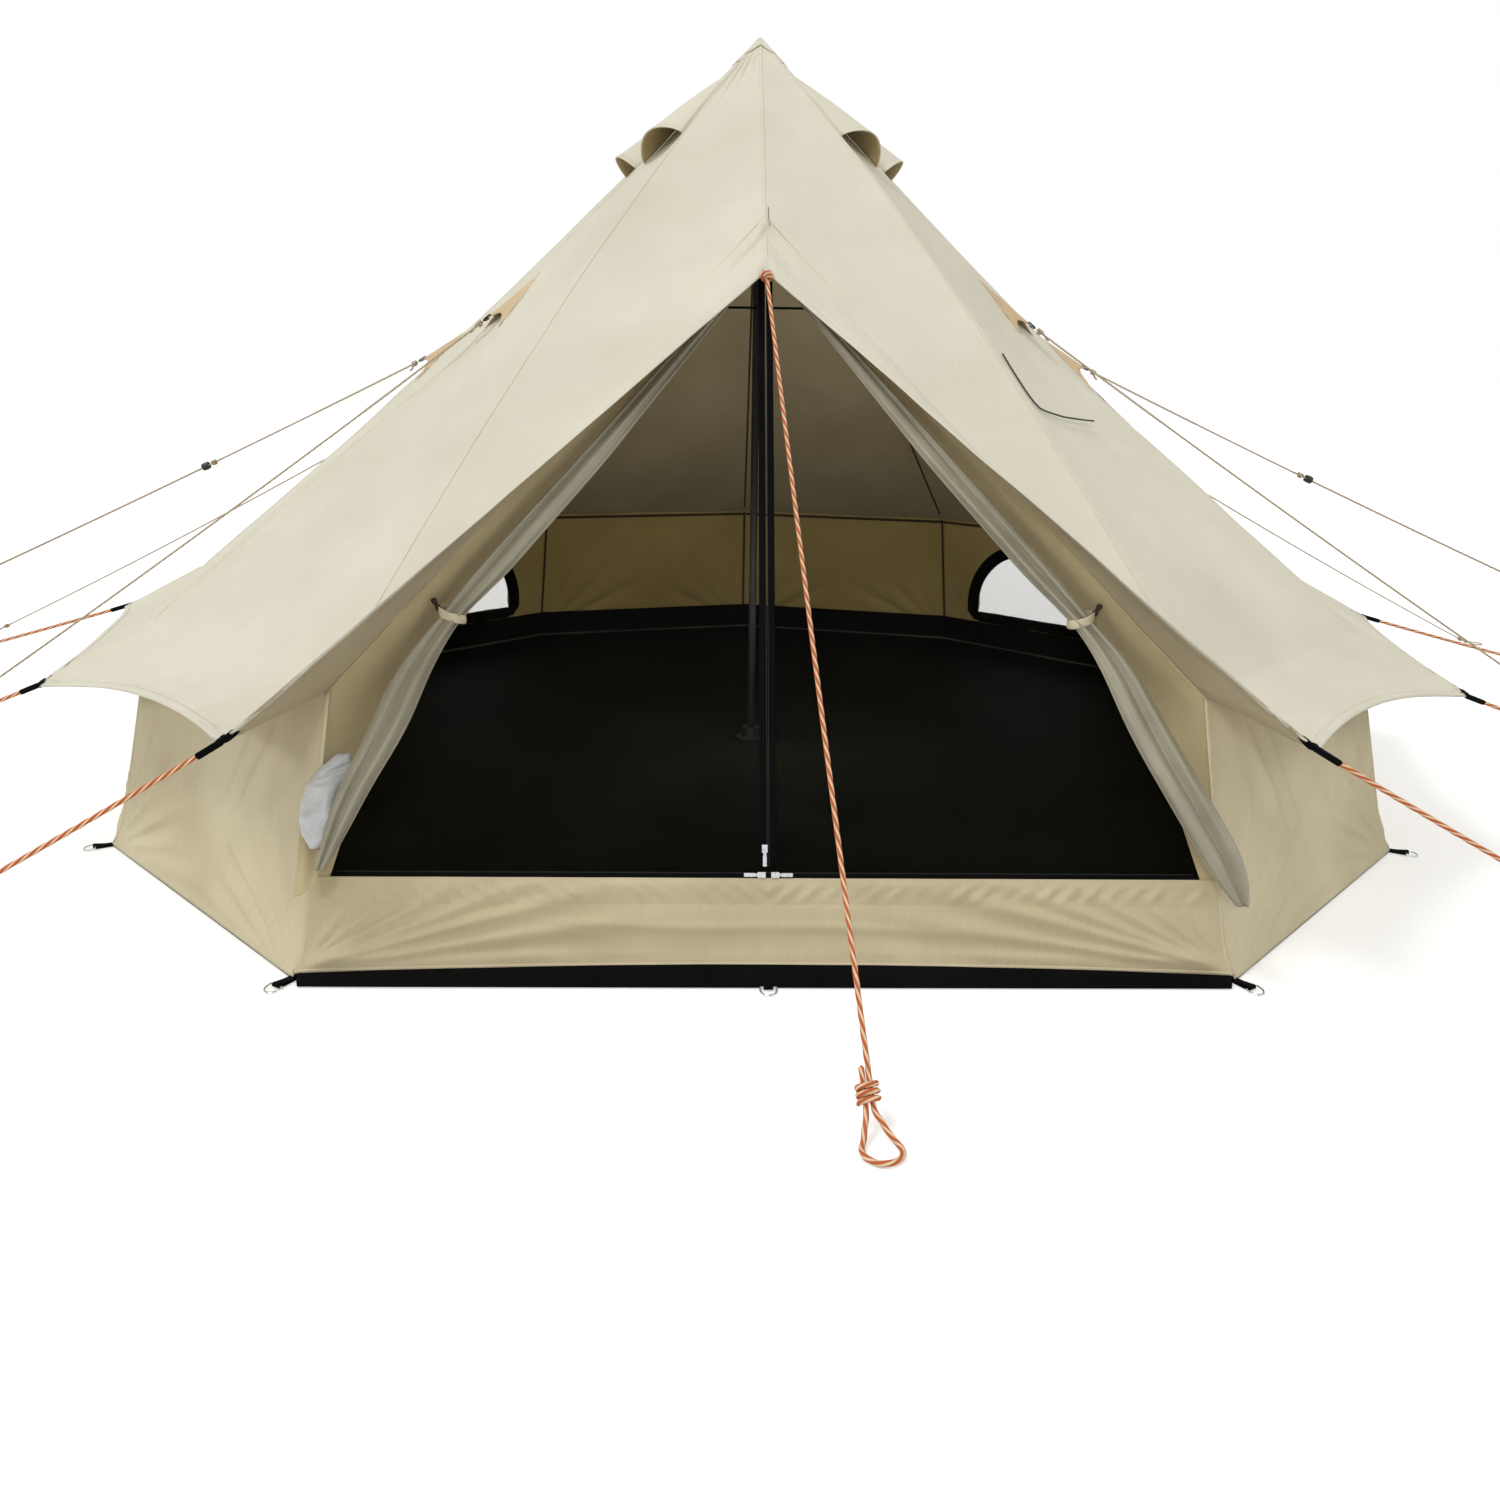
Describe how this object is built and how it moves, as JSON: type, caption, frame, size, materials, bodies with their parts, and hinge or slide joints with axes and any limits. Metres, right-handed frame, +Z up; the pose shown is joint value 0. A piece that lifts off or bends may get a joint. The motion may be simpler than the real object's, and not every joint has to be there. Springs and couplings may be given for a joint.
{
  "type": "bell tent",
  "caption": "Round bell tent with a pointed roof on a centre pole, low walls, zipped mesh doors behind tied curtains, hooded vents, half-moon windows, sewn-in floor and guy ropes.",
  "frame": {"origin": "on the ground under the centre pole", "axes": "+Z up; the door faces -Y; +X to the right seen from the door"},
  "size_m": [8.0258, 4.5004, 2.3372],
  "materials": {
    "cream_canvas": "woven canvas, matt",
    "tan_canvas": "woven canvas, matt",
    "silver_cloth": "coated cloth, soft sheen",
    "black_mesh": "fine insect mesh",
    "white_net": "fine window net",
    "black_sheet": "coated groundsheet",
    "black_webbing": "woven tape",
    "black_steel": "black powder coat",
    "bright_steel": "plated steel",
    "rope": "twisted rope",
    "dark_cord": "braided cord"
  },
  "bodies": {
    "tent": {"apex_cap": "cream_canvas", "base_webbing": "black_webbing", "cord_tail": "dark_cord", "curtain_left": "silver_cloth", "curtain_right": "silver_cloth", "door_surround": "tan_canvas", "floor_lip": "black_sheet", "groundsheet": "black_sheet", "pole_foot": "black_steel", "pole_lower": "black_steel", "pole_tip": "black_steel", "pole_upper": "black_steel", "roof": "cream_canvas", "rope_eave30_left": "rope", "rope_eave30_right": "rope", "rope_eave60_left": "rope", "rope_eave60_right": "rope", "rope_eave90_left": "rope", "rope_eave90_right": "rope", "rope_front": "rope", "rope_upper120_left": "rope", "rope_upper120_right": "rope", "rope_upper60_left": "rope", "rope_upper60_right": "rope", "rope_upper90_left": "rope", "rope_upper90_right": "rope", "sill_zip": "black_webbing", "tieback_left": "tan_canvas", "tieback_right": "tan_canvas", "vent_hood_left_front": "cream_canvas", "vent_hood_left_rear": "cream_canvas", "vent_hood_right_front": "cream_canvas", "vent_hood_right_rear": "cream_canvas", "wall_left": "tan_canvas", "wall_right": "tan_canvas", "window_flap_left": "tan_canvas", "window_flap_right": "tan_canvas", "window_net_left": "white_net", "window_net_right": "white_net", "window_trim_left": "black_webbing", "window_trim_right": "black_webbing"},
    "mesh_left": {"mesh_door_left": "black_mesh"},
    "mesh_right": {"mesh_door_right": "black_mesh"},
    "slider_centre": {"slider_centre": "bright_steel"},
    "slider_left": {"slider_left": "bright_steel"},
    "slider_right": {"slider_right": "bright_steel"},
    "runner_left": {"runner_left": "black_webbing"},
    "runner_right": {"runner_right": "black_webbing"},
    "ring_left150": {"ring_left150": "bright_steel"},
    "ring_left120": {"ring_left120": "bright_steel"},
    "ring_left90": {"ring_left90": "bright_steel"},
    "ring_left60": {"ring_left60": "bright_steel"},
    "ring_left30": {"ring_left30": "bright_steel"},
    "ring_right30": {"ring_right30": "bright_steel"},
    "ring_right60": {"ring_right60": "bright_steel"},
    "ring_right90": {"ring_right90": "bright_steel"},
    "ring_right120": {"ring_right120": "bright_steel"},
    "ring_right150": {"ring_right150": "bright_steel"},
    "ring_back": {"ring_back": "bright_steel"},
    "ring_front": {"ring_front": "bright_steel"}
  },
  "joints": [
    {"name": "mesh_left_swing", "type": "hinge", "parent": "tent", "child": "mesh_left", "pos_m": [-0.846, -1.43668, 0.59948], "axis": [0.5931, 0.4197, 0.6871], "range_deg": [0, 85]},
    {"name": "mesh_right_swing", "type": "hinge", "parent": "tent", "child": "mesh_right", "pos_m": [0.846, -1.43668, 0.59948], "axis": [0.5931, -0.4197, -0.6871], "range_deg": [0, 85]},
    {"name": "slider_centre_run", "type": "slide", "parent": "mesh_left", "child": "slider_centre", "axis": [0, 0.5212, 0.8534], "range_m": [0, 1.25]},
    {"name": "slider_left_run", "type": "slide", "parent": "tent", "child": "slider_left", "axis": [-1, 0, 0], "range_m": [0, 0.84]},
    {"name": "slider_right_run", "type": "slide", "parent": "tent", "child": "slider_right", "axis": [1, 0, 0], "range_m": [0, 0.84]},
    {"name": "runner_left_slide", "type": "slide", "parent": "tent", "child": "runner_left", "axis": [-0.8977, -0.0395, -0.4387], "range_m": [0, 0.12]},
    {"name": "runner_right_slide", "type": "slide", "parent": "tent", "child": "runner_right", "axis": [0.9092, -0.0373, -0.4147], "range_m": [0, 0.12]},
    {"name": "ring_left150_swing", "type": "hinge", "parent": "tent", "child": "ring_left150", "pos_m": [-1.01925, 1.76539, 0.0058], "axis": [0.866, 0.5, 0], "range_deg": [0, 95]},
    {"name": "ring_left120_swing", "type": "hinge", "parent": "tent", "child": "ring_left120", "pos_m": [-1.76539, 1.01925, 0.0058], "axis": [0.5, 0.866, 0], "range_deg": [0, 95]},
    {"name": "ring_left90_swing", "type": "hinge", "parent": "tent", "child": "ring_left90", "pos_m": [-2.0385, 0, 0.0058], "axis": [0, 1, 0], "range_deg": [0, 95]},
    {"name": "ring_left60_swing", "type": "hinge", "parent": "tent", "child": "ring_left60", "pos_m": [-1.76539, -1.01925, 0.0058], "axis": [-0.5, 0.866, 0], "range_deg": [0, 95]},
    {"name": "ring_left30_swing", "type": "hinge", "parent": "tent", "child": "ring_left30", "pos_m": [-1.01925, -1.76539, 0.0058], "axis": [-0.866, 0.5, 0], "range_deg": [0, 95]},
    {"name": "ring_right30_swing", "type": "hinge", "parent": "tent", "child": "ring_right30", "pos_m": [1.01925, -1.76539, 0.0058], "axis": [-0.866, -0.5, 0], "range_deg": [0, 95]},
    {"name": "ring_right60_swing", "type": "hinge", "parent": "tent", "child": "ring_right60", "pos_m": [1.76539, -1.01925, 0.0058], "axis": [-0.5, -0.866, 0], "range_deg": [0, 95]},
    {"name": "ring_right90_swing", "type": "hinge", "parent": "tent", "child": "ring_right90", "pos_m": [2.0385, 0, 0.0058], "axis": [0, -1, 0], "range_deg": [0, 95]},
    {"name": "ring_right120_swing", "type": "hinge", "parent": "tent", "child": "ring_right120", "pos_m": [1.76539, 1.01925, 0.0058], "axis": [0.5, -0.866, 0], "range_deg": [0, 95]},
    {"name": "ring_right150_swing", "type": "hinge", "parent": "tent", "child": "ring_right150", "pos_m": [1.01925, 1.76539, 0.0058], "axis": [0.866, -0.5, 0], "range_deg": [0, 95]},
    {"name": "ring_back_swing", "type": "hinge", "parent": "tent", "child": "ring_back", "pos_m": [0, 2.0385, 0.0058], "axis": [1, 0, 0], "range_deg": [0, 95]},
    {"name": "ring_front_swing", "type": "hinge", "parent": "tent", "child": "ring_front", "pos_m": [0, -1.77055, 0.0058], "axis": [-1, 0, 0], "range_deg": [0, 95]}
  ]
}
